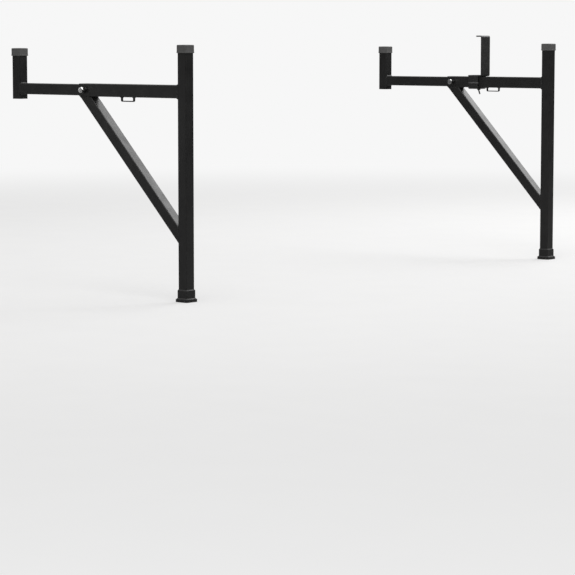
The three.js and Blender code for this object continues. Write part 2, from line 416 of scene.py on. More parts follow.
def mark_edges(shell):
    """Stores how sharply the skin turns at each vertex, for wear in the materials."""
    layer = shell.verts.layers.float.new(EDGE_LAYER)
    for vert in shell.verts:
        turn = max(edge.calc_face_angle(0.0) for edge in vert.link_edges)
        vert[layer] = min(1.0, max(0.0, turn - SOFT_TURN) / (SHARP_TURN - SOFT_TURN))


def plain_object(name, shell):
    mesh = bpy.data.meshes.new(name)
    shell.to_mesh(mesh)
    shell.free()
    piece = bpy.data.objects.new(name, mesh)
    bpy.context.scene.collection.objects.link(piece)
    return piece


def show(name, shell, body, look, stands_for=(), sharp=40):
    """Puts a finished skin in the scene: shading, look, the body it rides on and the nodes it replaces."""
    if EDGE_LAYER not in shell.verts.layers.float:
        mark_edges(shell)
    piece = plain_object(name, shell)
    piece.data.shade_smooth()
    piece.data.set_sharp_from_angle(angle=math.radians(sharp))
    material, slot = look
    piece.data.materials.append(material)
    even = piece.modifiers.new("Even shading", "WEIGHTED_NORMAL")
    even.keep_sharp = True
    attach(piece, body)
    if stands_for:
        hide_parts(*stands_for)
    return piece


def drilled(shell, axes, radius, start, stop):
    """The skin with a round hole cut through it along the axes."""
    mark_edges(shell)
    target = plain_object("drill_target", shell)
    rings = [[axes.point(a, b, along) for a, b in circle(radius, ROD_SIDES)] for along in (start, stop)]
    drill = plain_object("drill_bit", lofted(rings))
    cut = target.modifiers.new("Hole", "BOOLEAN")
    cut.operation = "DIFFERENCE"
    cut.solver = "EXACT"
    cut.object = drill
    depsgraph = bpy.context.evaluated_depsgraph_get()
    result = bmesh.new()
    result.from_mesh(target.evaluated_get(depsgraph).to_mesh())
    for used in (target, drill):
        mesh = used.data
        bpy.data.objects.remove(used)
        bpy.data.meshes.remove(mesh)
    return result


def middle(node):
    """Centre and size of a CAD node's box."""
    lowest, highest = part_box(node)
    return (lowest + highest) / 2, highest - lowest


# ---------------------------------------------------------------- materials

# Most of a noise texture's values lie between these
NOISE_LOW = 0.3
NOISE_HIGH = 0.7

# Tones of the coat's marks: brightness, and warmth where they aren't plain grey
DUST_TONE = (0.12, 0.04)
WORN_TONE = 0.09
RUBBED_TONE = 0.055
# The pale band at one height is a painted highlight on the collar
HIGHLIGHT_BAND_TONE = 0.16

# Heights of the bumps
COAT_WAVE = 0.09 * MM
COAT_PEEL = 0.06 * MM
BRUSH_MARK = 0.02 * MM
VINYL_DENT = 0.25 * MM
VINYL_GRAIN = 0.12 * MM
RUBBER_PIT = 0.06 * MM

# Least and greatest reach of the collar's painted highlight band above and below its height
HIGHLIGHT_BAND_REACH = (2.0 * MM, 5.0 * MM)


def add_node(tree, kind, values=None, **settings):
    """New node with its settings, and its inputs set to values or linked to sockets."""
    node = tree.nodes.new(kind)
    for key, value in settings.items():
        setattr(node, key, value)
    for key, value in (values or {}).items():
        if isinstance(value, bpy.types.NodeSocket):
            tree.links.new(value, node.inputs[key])
        else:
            node.inputs[key].default_value = value
    return node


def noise(tree, place, scale, detail=2.0):
    values = {"Vector": place, "Scale": scale, "Detail": detail}
    return add_node(tree, "ShaderNodeTexNoise", values).outputs["Fac"]


def ranged(tree, value, low, high, to_low, to_high):
    values = {"Value": value, "From Min": low, "From Max": high, "To Min": to_low, "To Max": to_high}
    return add_node(tree, "ShaderNodeMapRange", values).outputs["Result"]


def maths(tree, operation, first, second):
    return add_node(tree, "ShaderNodeMath", {0: first, 1: second}, operation=operation).outputs[0]


def mixed(tree, factor, first, second):
    """Colour between two colours or sockets."""
    mix = tree.nodes.new("ShaderNodeMix")
    mix.data_type = "RGBA"
    for socket, value in ((mix.inputs[0], factor), (mix.inputs[6], first), (mix.inputs[7], second)):
        if isinstance(value, bpy.types.NodeSocket):
            tree.links.new(value, socket)
        else:
            socket.default_value = value
    return mix.outputs[2]


def bumped(tree, height, distance, normal=None):
    values = {"Height": height, "Distance": distance, "Strength": 1.0}
    if normal:
        values["Normal"] = normal
    return add_node(tree, "ShaderNodeBump", values).outputs["Normal"]


def grey(level, warmth=0.0):
    return (level * (1 + warmth), level, level * (1 - warmth), 1)


def new_look(name):
    """Material, its tree, its principled shader and the place on the object."""
    material = bpy.data.materials.new(name)
    material.use_nodes = True
    tree = material.node_tree
    place = add_node(tree, "ShaderNodeTexCoord").outputs["Object"]
    return material, tree, tree.nodes["Principled BSDF"], place


def finish_look(tree, shader, **inputs):
    for key, value in inputs.items():
        socket = shader.inputs[key.replace("_", " ")]
        if isinstance(value, bpy.types.NodeSocket):
            tree.links.new(value, socket)
        else:
            socket.default_value = value


def upward_dust(tree, place):
    """Thin, patchy dust on faces that look up."""
    normal = add_node(tree, "ShaderNodeNewGeometry").outputs["Normal"]
    up = add_node(tree, "ShaderNodeSeparateXYZ", {"Vector": normal}).outputs["Z"]
    return maths(tree, "MULTIPLY", ranged(tree, up, 0.5, 1.0, 0.0, 1.0), noise(tree, place, 30, 5.0))


def edge_wear(tree, place, scale):
    """Broken-up wear where the skin turns."""
    edge = add_node(tree, "ShaderNodeAttribute", attribute_name=EDGE_LAYER).outputs["Fac"]
    patches = ranged(tree, noise(tree, place, scale, 4.0), 0.5, 0.68, 0.0, 1.0)
    return maths(tree, "MULTIPLY", edge, patches)


def rub_marks(tree, place):
    """Fine lengthwise lines in patches, where an arm has slid in its sleeve."""
    drawn = add_node(tree, "ShaderNodeMapping", {"Vector": place, "Scale": (0.02, 1, 1)}).outputs["Vector"]
    lines = ranged(tree, noise(tree, drawn, 1100, 3.0), 0.56, 0.70, 0.0, 1.0)
    patches = ranged(tree, noise(tree, place, 28, 3.0), 0.45, 0.60, 0.0, 0.6)
    return maths(tree, "MULTIPLY", lines, patches)


def painted_highlight_band(tree, place, height):
    """Broken pale streak at one height: a painted highlight across the collar's middle."""
    z = add_node(tree, "ShaderNodeSeparateXYZ", {"Vector": place}).outputs["Z"]
    off = maths(tree, "ABSOLUTE", maths(tree, "SUBTRACT", z, height), 0.0)
    wander = ranged(tree, noise(tree, place, 90, 2.0), NOISE_LOW, NOISE_HIGH, *HIGHLIGHT_BAND_REACH)
    band = ranged(tree, off, wander, 0.0, 0.0, 1.0)
    return maths(tree, "MULTIPLY", band, ranged(tree, noise(tree, place, 260, 3.0), 0.35, 0.6, 0.3, 1.0))


def powder_coat(name, base, roughness, dust_level, rubbed=False, highlight_band_height=None):
    """Semi-gloss black powder coat with orange peel, faint dust and rubbed edges."""
    material, tree, shader, place = new_look(name)
    tone = mixed(tree, noise(tree, place, 24, 4.0), grey(base * 0.7), grey(base * 1.4, 0.02))
    dust = maths(tree, "MULTIPLY", upward_dust(tree, place), dust_level)
    dusted = mixed(tree, dust, tone, grey(*DUST_TONE))
    worn = mixed(tree, maths(tree, "MULTIPLY", edge_wear(tree, place, 160), 0.35), dusted, grey(WORN_TONE))
    cloudy = noise(tree, place, 30, 3.0)
    patchy = ranged(tree, cloudy, NOISE_LOW, NOISE_HIGH, roughness - 0.06, roughness + 0.06)
    scuffed = maths(tree, "ADD", patchy, maths(tree, "MULTIPLY", edge_wear(tree, place, 240), 0.15))
    waves = bumped(tree, noise(tree, place, 60, 1.0), COAT_WAVE)
    skin = bumped(tree, noise(tree, place, 600, 1.5), COAT_PEEL, waves)
    if rubbed:
        marks = rub_marks(tree, place)
        worn = mixed(tree, marks, worn, grey(RUBBED_TONE))
        scuffed = maths(tree, "SUBTRACT", scuffed, maths(tree, "MULTIPLY", marks, 0.10))
    # Optional pale band at one height: a painted highlight
    if highlight_band_height is not None:
        worn = mixed(tree, painted_highlight_band(tree, place, highlight_band_height), worn, grey(HIGHLIGHT_BAND_TONE))
    finish_look(tree, shader, Base_Color=worn, Roughness=scuffed, IOR=1.5, Normal=skin)
    return material, "coated_steel"


def zinc():
    """Bright zinc plate: brushed, slightly clouded metal."""
    material, tree, shader, place = new_look("bright_zinc")
    stretched = add_node(tree, "ShaderNodeMapping", {"Vector": place, "Scale": (1, 14, 1)}).outputs["Vector"]
    brushed = noise(tree, stretched, 900, 3.0)
    cloudy = noise(tree, place, 150, 2.0)
    tone = mixed(tree, cloudy, (0.76, 0.78, 0.80, 1), (0.86, 0.86, 0.83, 1))
    worn = mixed(tree, edge_wear(tree, place, 500), tone, grey(0.42, 0.06))
    skin = bumped(tree, brushed, BRUSH_MARK)
    finish_look(tree, shader, Base_Color=worn, Metallic=1.0, Normal=skin,
                Roughness=ranged(tree, cloudy, NOISE_LOW, NOISE_HIGH, 0.20, 0.30))
    return material, "zinc_plate"


def moulded_vinyl():
    """Matt dip-moulded vinyl with a fine grain, soft dents and pale scuffs."""
    material, tree, shader, place = new_look("grey_vinyl")
    tone = mixed(tree, noise(tree, place, 60, 4.0), grey(0.078), grey(0.108, 0.02))
    dusted = mixed(tree, maths(tree, "MULTIPLY", upward_dust(tree, place), 0.35), tone, grey(0.16, 0.05))
    scuffed = mixed(tree, maths(tree, "MULTIPLY", edge_wear(tree, place, 300), 0.4), dusted, grey(0.15, 0.02))
    dents = bumped(tree, noise(tree, place, 90, 1.0), VINYL_DENT)
    skin = bumped(tree, noise(tree, place, 900, 3.0), VINYL_GRAIN, dents)
    finish_look(tree, shader, Base_Color=scuffed, IOR=1.52, Normal=skin,
                Roughness=ranged(tree, noise(tree, place, 120, 3.0), NOISE_LOW, NOISE_HIGH, 0.50, 0.68))
    return material, "vinyl"


def sheet_rubber():
    """Dull black sheet rubber with a pitted skin."""
    material, tree, shader, place = new_look("sheet_rubber")
    tone = mixed(tree, noise(tree, place, 180, 5.0), grey(0.014), grey(0.030, 0.04))
    pits = bumped(tree, noise(tree, place, 1100, 4.0), RUBBER_PIT)
    finish_look(tree, shader, Base_Color=tone, Roughness=0.82, Normal=pits)
    return material, "rail_rubber"


COAT = powder_coat("black_powder_coat", base=0.0120, roughness=0.34, dust_level=0.10)
RUBBED_COAT = powder_coat("rubbed_powder_coat", base=0.0120, roughness=0.34, dust_level=0.10, rubbed=True)
BEAD_COAT = powder_coat("coated_weld_bead", base=0.0125, roughness=0.30, dust_level=0.10)
STRAP_COAT = powder_coat("dusty_strap_coat", base=0.020, roughness=0.40, dust_level=0.35)
ZINC = zinc()
VINYL = moulded_vinyl()
RUBBER = sheet_rubber()


# ---------------------------------------------------------------- pieces

def upright_axes(node):
    centre, _ = middle(node)
    return Axes((centre.x, centre.y, 0), X, Y)


def level_axes(node):
    centre, _ = middle(node)
    return Axes((0, centre.y, centre.z), Y, Z)


def upright_tube(node, name, body, look=COAT, wall=WALL, bore_corner=BORE_CORNER, rim=RIM):
    lowest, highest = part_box(node)
    size = highest.x - lowest.x
    shell = square_tube(upright_axes(node), size, wall, lambda a, b: (lowest.z, highest.z), bore_corner, rim)
    return show(name, shell, body, look, [node])


def level_tube(node):
    lowest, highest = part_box(node)
    size = highest.z - lowest.z
    return square_tube(level_axes(node), size, WALL, lambda a, b: (lowest.x, highest.x))


def outer_arm(side):
    """Outer arm with the bolt's hole in its near wall."""
    node = f"{side}_outer_arm"
    centre, size = middle(node)
    bolt, _ = middle(f"{side}_lock_bolt")
    hole = Axes((bolt.x, centre.y, bolt.z), X, Z)
    shell = drilled(level_tube(node), hole, BOLT_HOLE_R, size.z / 4, size.z)
    show(f"{side}_outer_arm_tube", shell, f"{side}_upright", COAT, [node])


def brace_axes(side):
    """Axes of the brace: its outer face runs through two corners of its box."""
    lowest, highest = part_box(f"{side}_brace")
    along = Vector((highest.x - lowest.x, 0, lowest.z - highest.z)).normalized()
    up = along.cross(Y)
    half = (highest.y - lowest.y) / 2
    corner = Vector((lowest.x, (lowest.y + highest.y) / 2, highest.z))
    return Axes(corner + half * up, Y, up)


def brace(side):
    """Brace cut level under the arm and upright against the post."""
    node = f"{side}_brace"
    lowest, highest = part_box(node)
    axes = brace_axes(side)

    def ends(a, b):
        across = axes.point(a, b, 0)
        start = (highest.z - across.z) / axes.along.z
        stop = (highest.x - across.x) / axes.along.x
        return start, stop

    shell = square_tube(axes, highest.y - lowest.y, WALL, ends)
    show(f"{side}_brace_tube", shell, f"{side}_upright", COAT, [node])


def vinyl_cap(node, name, body):
    """Push-on cap: open below, with a fuller lip, round crown and slightly domed top."""
    lowest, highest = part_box(node)
    axes = upright_axes(node)
    lip = (highest.x - lowest.x) / 2
    half = lip - CAP_LIP
    pocket = half - CAP_WALL
    shoulder = half - CAP_CROWN
    bottom = lowest.z
    top = highest.z
    profile = [(pocket, CORNER, top - CAP_TOP_WALL)]
    profile += [(pocket + out * MM, CORNER, bottom + up * MM) for out, up in CAP_MOUTH]
    profile += [(lip + out * MM, CAP_CORNER, bottom + up * MM) for out, up in CAP_BEAD]
    for i in range(BEND_STEPS + 1):
        turn = QUARTER * i / BEND_STEPS
        width = shoulder + CAP_CROWN * math.cos(turn)
        height = top - CAP_DOME - CAP_CROWN * (1 - math.sin(turn))
        profile.append((width, CAP_CORNER - (half - width) / 2, height))
    for share in CAP_TOP_SHARES:
        profile.append((shoulder * share, CAP_CORNER * share / 2, top - CAP_DOME * share * share))
    loops = []
    for width, radius, height in profile:
        outline = rounded_rectangle(width, width, radius, CORNER_STEPS)
        loops.append([axes.point(a, b, height) for a, b in outline])
    show(name, lofted(loops), body, VINYL, [node])


def tie_loop(side):
    """Flat strip bent into a shallow loop under the arm."""
    node = f"{side}_tie_loop"
    centre, size = middle(node)
    lowest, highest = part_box(node)
    half = (size.x - LOOP_THICK) / 2
    bottom = lowest.z + LOOP_THICK / 2
    spots = [(-half, highest.z), (-half, bottom), (half, bottom), (half, highest.z)]
    corners = [Vector((centre.x + x, centre.y, z)) for x, z in spots]
    shell = flat_bar(corners, LOOP_BEND, Y, size.y, LOOP_THICK)
    show(f"{side}_tie_loop_strip", shell, f"{side}_upright", COAT, [node])


def hex_reach(turn):
    """Distance from the axis to a hexagon's side."""
    return FLATS / 2 / math.cos(turn % (math.pi / 3) - math.pi / 6)


def hex_rings(axes, start, stop, spin, chamfer_start):
    """Loops of a hexagon with its corners broken by a cone at the far end and, if asked, at the near one."""
    turns = [FULL * i / ROUND for i in range(ROUND)]

    def ring(radius_at, along_at):
        loop = []
        for turn in turns:
            radius = radius_at(turn)
            side = turn + spin
            loop.append(axes.point(radius * math.cos(side), radius * math.sin(side), along_at(radius)))
        return loop

    def drop(radius):
        return max(0.0, radius - CHAMFER_R) * CHAMFER_SLOPE

    near = ring(hex_reach, lambda r: start + (drop(r) if chamfer_start else 0))
    far = ring(hex_reach, lambda r: stop - drop(r))
    crown = ring(lambda t: CHAMFER_R, lambda r: stop)
    loops = [near, far, crown]
    if chamfer_start:
        loops.insert(0, ring(lambda t: CHAMFER_R, lambda r: start))
    return loops


def lock_axes(side):
    """Axes of the lock bolt, pointing out of the arm's near side."""
    bolt, _ = middle(f"{side}_lock_bolt")
    arm, _ = middle(f"{side}_outer_arm")
    return Axes((bolt.x, arm.y, bolt.z), X, Z)


def round_ring(axes, radius, along, sides=ROUND):
    return [axes.point(a, b, along) for a, b in circle(radius, sides)]


def lock_nut(side):
    """Hex nut with both rims chamfered and a countersunk bore."""
    node = f"{side}_lock_nut"
    lowest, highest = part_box(node)
    axes = lock_axes(side)
    start = axes.origin.y - highest.y
    stop = axes.origin.y - lowest.y
    sunk = BOLT_BORE_R + NUT_SINK
    bore = [(sunk, stop), (BOLT_BORE_R, stop - NUT_SINK), (BOLT_BORE_R, start + NUT_SINK), (sunk, start)]
    loops = hex_rings(axes, start, stop, 0.0, True)
    loops += [round_ring(axes, radius, along) for radius, along in bore]
    show(f"{side}_lock_nut_hex", lofted(loops, cyclic=True), f"{side}_upright", COAT, [node], sharp=25)


def thread_rings(axes, start, stop, radius):
    """Loops of a screw thread between two places along the axis."""
    rings = []
    count = round((stop - start) / PITCH * THREAD_RINGS)
    for i in range(count + 1):
        along = start + (stop - start) * i / count
        fade = min(1.0, 2 * i / THREAD_RINGS, 2 * (count - i) / THREAD_RINGS)
        loop = []
        for j in range(ROUND):
            turn = FULL * j / ROUND
            phase = (along / PITCH - j / ROUND) % 1
            slope = THREAD_STEEPNESS * (1 - abs(2 * phase - 1)) - THREAD_CREST
            groove = max(0.0, min(1.0, slope))
            reach = radius - THREAD_DEPTH * groove * fade
            loop.append(axes.point(reach * math.cos(turn), reach * math.sin(turn), along))
        rings.append(loop)
    return rings


def lock_bolt(side):
    """Hex bolt: pointed tip, cut thread, washer face, and a head with broken corners and a shallow dish."""
    node = f"{side}_lock_bolt"
    lowest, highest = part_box(node)
    axes = lock_axes(side)
    tip = axes.origin.y - highest.y
    top = axes.origin.y - lowest.y
    seat = top - HEAD_THICK
    loops = [round_ring(axes, BOLT_R - BOLT_POINT, tip)]
    loops += thread_rings(axes, tip + BOLT_POINT, seat - BOLT_POINT, BOLT_R)
    loops += [round_ring(axes, BOLT_R, seat - NECK_FLARE), round_ring(axes, BOLT_R + NECK_FLARE, seat)]
    loops += [round_ring(axes, WASHER_R, seat), round_ring(axes, WASHER_R, seat + WASHER_STEP)]
    loops += hex_rings(axes, seat + WASHER_STEP, top, HEAD_TURN, False)
    loops.append(round_ring(axes, HEAD_DISH_RIM * CHAMFER_R, top))
    loops.append(round_ring(axes, HEAD_DISH_FLOOR * CHAMFER_R, top - HEAD_DISH))
    show(f"{side}_lock_bolt_hex", lofted(loops), f"{side}_lock", ZINC, [node], sharp=25)


def stop_collar():
    """Channel bent from flat bar round the arm, open at the top, with the screw's hole below."""
    centre, size = middle("stop_collar")
    lowest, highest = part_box("stop_collar")
    reach = size.y / 2 - COLLAR_WALL / 2
    floor = lowest.z + COLLAR_WALL / 2
    spots = [(-reach, highest.z), (-reach, floor), (reach, floor), (reach, highest.z)]
    corners = [Vector((centre.x, centre.y + y, z)) for y, z in spots]
    shell = flat_bar(corners, COLLAR_BEND, X, size.x, COLLAR_WALL)
    hole = Axes((centre.x + SCREW_OFFSET, centre.y, 0), X, Y)
    shell = drilled(shell, hole, SCREW_HOLE_R, lowest.z - FIT_GAP, lowest.z + 2 * COLLAR_WALL)
    # The collar's coat carries a painted highlight band at its middle height
    look = powder_coat("collar_coat_painted_highlight", base=0.016, roughness=0.36, dust_level=0.3,
                       highlight_band_height=centre.z)
    show("stop_collar_channel", shell, "ladder_stop", look, ["stop_collar"])


def stop_strap():
    """Flat bar with a foot over the collar, an upright leg and a hook."""
    centre, size = middle("stop_strap")
    lowest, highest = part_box("stop_strap")
    half = STRAP_THICK / 2
    leg = highest.x - half
    spots = [(lowest.x, lowest.z + half), (leg, lowest.z + half)]
    spots += [(leg, highest.z - half), (highest.x - HOOK_REACH, highest.z - half)]
    corners = [Vector((x, centre.y, z)) for x, z in spots]
    shell = flat_bar(corners, STRAP_BEND, Y, size.y, STRAP_THICK)
    show("stop_strap_bar", shell, "ladder_stop", STRAP_COAT, ["stop_strap"])


def stop_screw():
    """Clamp screw: threaded shank, round hub, and a rod that bends away below it."""
    centre, _ = middle("stop_collar")
    screw_lowest, screw_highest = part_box("stop_screw")
    collar_lowest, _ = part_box("stop_collar")
    x = centre.x + SCREW_OFFSET
    hub_top = collar_lowest.z - FIT_GAP
    hub_bottom = hub_top - HUB_HEIGHT
    drop = hub_bottom - screw_lowest.z - HANDLE_R
    knee = Vector((x, centre.y, hub_bottom + HUB_HEIGHT / 2))
    lean = Vector((math.sin(HANDLE_LEAN), 0, -math.cos(HANDLE_LEAN)))
    end = knee + lean * (drop + HUB_HEIGHT / 2) / math.cos(HANDLE_LEAN)
    down = -Z
    start = Vector((x, centre.y, screw_highest.z))

    def at(z):
        return Vector((x, centre.y, z)), down

    lathe = [(start, down, SCREW_R - SCREW_POINT)]
    lathe += [(*at(start.z - SCREW_POINT), SCREW_R), (*at(hub_top), SCREW_R)]
    lathe += [(*at(hub_top), HUB_R - HUB_TOP_ROUND), (*at(hub_top - HUB_TOP_ROUND), HUB_R)]
    lathe += [(*at(hub_bottom + HUB_FOOT_ROUND), HUB_R)]
    lathe += [(*at(hub_bottom + HUB_FOOT_LIFT), HUB_R - HUB_FOOT_ROUND)]
    lathe += [(*at(hub_bottom), HANDLE_R + HUB_FOOT_ROUND)]
    path = [Vector((x, centre.y, hub_bottom)), knee - Z * HUB_HEIGHT, end]
    bend = bent_path(path, HANDLE_BEND + HANDLE_R)
    lathe += [(point, tangent, HANDLE_R) for point, tangent in bend[1:]]
    tip = bend[-1][1]
    for i in range(1, BEND_STEPS):
        turn = QUARTER * i / BEND_STEPS
        lathe.append((end + tip * HANDLE_R * math.sin(turn), tip, HANDLE_R * math.cos(turn)))
    stations = [(point, tangent) for point, tangent, _ in lathe]
    shell = swept(stations, Y, lambda i: circle(lathe[i][2], ROD_SIDES))
    show("stop_screw_handle", shell, "stop_clamp", COAT, ["stop_screw"], sharp=50)


# ---------------------------------------------------------------- welds

def arm_post_weld(side, dice):
    """One bead all round the butt joint of the outer arm and the narrower post."""
    arm, arm_size = middle(f"{side}_outer_arm")
    _, post_size = middle(f"{side}_post")
    face = arm.x + arm_size.x / 2
    axes = Axes((face, arm.y, arm.z), Y, Z)
    run = wrap_run(axes, post_size.y / 2 - ARM_INSET, arm_size.z / 2, ARM_TURN)
    shell = bead(run, ARM_LEGS, dice, closed=True)
    show(f"{side}_arm_post_weld", shell, f"{side}_upright", BEAD_COAT, sharp=70)


def brace_arm_weld(side, dice):
    """Beads where the brace meets the arm's underside."""
    lowest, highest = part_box(f"{side}_brace")
    axes = brace_axes(side)
    centre, size = middle(f"{side}_brace")
    length = size.y / abs(axes.along.z)
    flat = size.y / 2 - CORNER
    level = highest.z + FIT_GAP / 2
    left = lowest.x
    right = left + length
    near_top = Vector((right, centre.y, level))
    beads = []
    run = straight_run(near_top - flat * Y, near_top + flat * Y, X, axes.along)
    beads.append(bead(run, BRACE_INNER_LEGS, dice))
    for out in (-Y, Y):
        start = Vector((left + CORNER, centre.y, level)) + out * size.y / 2
        end = Vector((right - CORNER / 2, centre.y, level)) + out * size.y / 2
        beads.append(bead(straight_run(start, end, out, -Z), BRACE_SIDE_LEGS, dice))
    show(f"{side}_brace_arm_weld", joined(beads), f"{side}_upright", BEAD_COAT, sharp=70)


def brace_post_weld(side, dice):
    """Beads where the brace meets the post's face."""
    lowest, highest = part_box(f"{side}_brace")
    axes = brace_axes(side)
    centre, size = middle(f"{side}_brace")
    height = size.y / axes.along.x
    flat = size.y / 2 - CORNER
    face = highest.x + FIT_GAP / 2
    bottom = lowest.z
    top = bottom + height
    beads = []
    for z, up, legs in ((top, Z, BRACE_INNER_LEGS), (bottom, -Z, BRACE_OUTER_LEGS)):
        corner = Vector((face, centre.y, z))
        run = straight_run(corner - flat * Y, corner + flat * Y, up, -axes.along)
        beads.append(bead(run, legs, dice))
    for out in (-Y, Y):
        edge = Vector((face, centre.y, 0)) + out * (size.y / 2 - SEAM_INSET)
        run = straight_run(edge + Z * (bottom + CORNER), edge + Z * (top - CORNER), X, out)
        beads.append(bead(run, SEAM_LEGS, dice, seam_outline))
    show(f"{side}_brace_post_weld", joined(beads), f"{side}_upright", BEAD_COAT, sharp=70)


def end_post_weld(side, dice):
    """Beads round the butt joint of the inner arm and the end post."""
    arm_lowest, arm_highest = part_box(f"{side}_inner_arm")
    centre, size = middle(f"{side}_inner_arm")
    face = arm_lowest.x
    flat = size.y / 2 - CORNER
    beads = []
    for z, up in ((arm_highest.z, Z), (arm_lowest.z, -Z)):
        corner = Vector((face, centre.y, z))
        beads.append(bead(straight_run(corner - flat * Y, corner + flat * Y, X, up), END_LEGS, dice))
    for out in (-Y, Y):
        edge = Vector((face, centre.y, 0)) + out * (size.y / 2 - SEAM_INSET)
        run = straight_run(edge + Z * (arm_lowest.z + CORNER), edge + Z * (arm_highest.z - CORNER), X, out)
        beads.append(bead(run, SEAM_LEGS, dice, seam_outline))
    show(f"{side}_end_post_weld", joined(beads), f"{side}_arm", BEAD_COAT, sharp=70)


def base_weld(side, dice):
    """Beads round the post on the sleeve's rim, and round the sleeve on its flange."""
    _, sleeve_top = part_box(f"{side}_base_sleeve")
    _, flange_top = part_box(f"{side}_base_flange")
    _, post_size = middle(f"{side}_post")
    _, sleeve_size = middle(f"{side}_base_sleeve")
    axes = upright_axes(f"{side}_post")
    rim = ring_run(axes, post_size.x / 2, post_size.y / 2, CORNER, sleeve_top.z - RIM_SINK)
    skirt = ring_run(axes, sleeve_size.x / 2, sleeve_size.y / 2, CORNER, flange_top.z)
    beads = [bead(rim, SLEEVE_RIM_LEGS, dice, closed=True), bead(skirt, FLANGE_LEGS, dice, closed=True)]
    show(f"{side}_base_weld", joined(beads), f"{side}_upright", BEAD_COAT, sharp=70)


def loop_weld(side, dice):
    """A small bead round each leg of the tie-down loop."""
    centre, size = middle(f"{side}_tie_loop")
    arm_lowest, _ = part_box(f"{side}_outer_arm")
    half = LOOP_THICK / 2
    beads = []
    for sign in (-1, 1):
        axes = Axes((centre.x + sign * (size.x / 2 - half), centre.y, arm_lowest.z), X, -Y)
        run = ring_run(axes, half, size.y / 2, BAR_EDGE, 0)
        beads.append(bead(run, LOOP_LEGS, dice, closed=True, ripple=TACK_RIPPLE))
    show(f"{side}_loop_weld", joined(beads), f"{side}_upright", BEAD_COAT, sharp=70)


def nut_weld(side, dice):
    """Three tacks that hold the nut to the arm's near side."""
    _, nut_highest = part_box(f"{side}_lock_nut")
    axes = lock_axes(side)
    seat = axes.origin.y - nut_highest.y - FIT_GAP
    beads = []
    for flat in range(0, 6, 2):
        turn = math.pi / 6 + flat * math.pi / 3
        out = math.cos(turn) * axes.a + math.sin(turn) * axes.b
        across = out.cross(axes.along)
        corner = axes.origin + seat * axes.along + out * FLATS / 2
        run = straight_run(corner - across * TACK_REACH, corner + across * TACK_REACH, out, axes.along)
        beads.append(bead(run, TACK_LEGS, dice, ripple=TACK_RIPPLE))
    show(f"{side}_nut_weld", joined(beads), f"{side}_upright", BEAD_COAT, sharp=70)


def strap_weld(dice):
    """Low beads along both edges where the strap's foot closes the collar."""
    centre, size = middle("stop_collar")
    _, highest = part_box("stop_collar")
    level = highest.z + FIT_GAP / 2
    half = size.x / 2 - CORNER / 2
    beads = []
    for out in (-Y, Y):
        edge = Vector((centre.x, centre.y, level)) + out * (size.y / 2 - STRAP_INSET)
        run = straight_run(edge - half * X, edge + half * X, Z, out)
        beads.append(bead(run, STRAP_LEGS, dice, seam_outline))
    show("stop_strap_weld", joined(beads), "ladder_stop", BEAD_COAT, sharp=70)


# ---------------------------------------------------------------- assembly

def upright(side, dice):
    body = f"{side}_upright"
    upright_tube(f"{side}_post", f"{side}_post_tube", body)
    outer_arm(side)
    brace(side)
    tie_loop(side)
    lock_nut(side)
    vinyl_cap(f"{side}_post_cap", f"{side}_post_cap_vinyl", body)
    upright_tube(f"{side}_base_sleeve", f"{side}_base_sleeve_tube", body)
    plate_wall = (middle(f"{side}_base_flange")[1].x - middle(f"{side}_base_sleeve")[1].x) / 2 - FIT_GAP
    upright_tube(f"{side}_base_flange", f"{side}_base_flange_plate", body, COAT, plate_wall, CORNER, 0)
    upright_tube(f"{side}_rail_pad", f"{side}_rail_pad_sheet", body, RUBBER, plate_wall, CORNER, 0)
    arm_post_weld(side, dice)
    brace_arm_weld(side, dice)
    brace_post_weld(side, dice)
    base_weld(side, dice)
    loop_weld(side, dice)
    nut_weld(side, dice)


def sliding_arm(side, dice):
    body = f"{side}_arm"
    show(f"{side}_inner_arm_tube", level_tube(f"{side}_inner_arm"), body, RUBBED_COAT, [f"{side}_inner_arm"])
    upright_tube(f"{side}_end_post", f"{side}_end_post_tube", body)
    vinyl_cap(f"{side}_end_cap", f"{side}_end_cap_vinyl", body)
    end_post_weld(side, dice)


def ladder_stop(dice):
    stop_collar()
    stop_strap()
    stop_screw()
    strap_weld(dice)


# ---------------------------------------------------------------- stage

CAMERA_PLACE = (5.40899, -6.22193, 0.90316)
CAMERA_AZIMUTH = math.radians(41.24)
CAMERA_PITCH = math.radians(5.95)
CAMERA_LENS = 150.08
FLOOR_RADIUS = 40.0
FLOOR_FADE = (2.6, 7.0)
FLOOR_SIDES = 96
FLOOR_LIFT = 0.4
PAPER = 0.93
# Height of a view direction from straight down (0) to straight up (1), and the sky's brightness there
SKY = ((0.0, 0.12), (0.40, 0.04), (0.52, 0.055), (0.60, 0.30), (0.80, 0.70), (1.0, 0.80))
# Each softbox: its direction from what it lights, its distance, its size and its power
FAR_SOFTBOX = ((0.12, 0.75, 0.65), 4.5, 3.2, 105)
TOP_SOFTBOX = ((0.3, -0.5, 1.0), 4.0, 2.0, 36)
SIDE_SOFTBOX = ((-0.66, -0.75, -0.08), 2.5, 0.36, 0.5)


def camera():
    data = bpy.data.cameras.new("Camera")
    data.lens = CAMERA_LENS
    data.clip_end = 60
    seer = bpy.data.objects.new("Camera", data)
    seer.location = CAMERA_PLACE
    seer.rotation_euler = (QUARTER - CAMERA_PITCH, 0, CAMERA_AZIMUTH)
    bpy.context.scene.collection.objects.link(seer)
    bpy.context.scene.camera = seer


def blended(tree, factor, first, second):
    """Shader between two shaders."""
    return add_node(tree, "ShaderNodeMixShader", {0: factor, 1: first, 2: second}).outputs["Shader"]


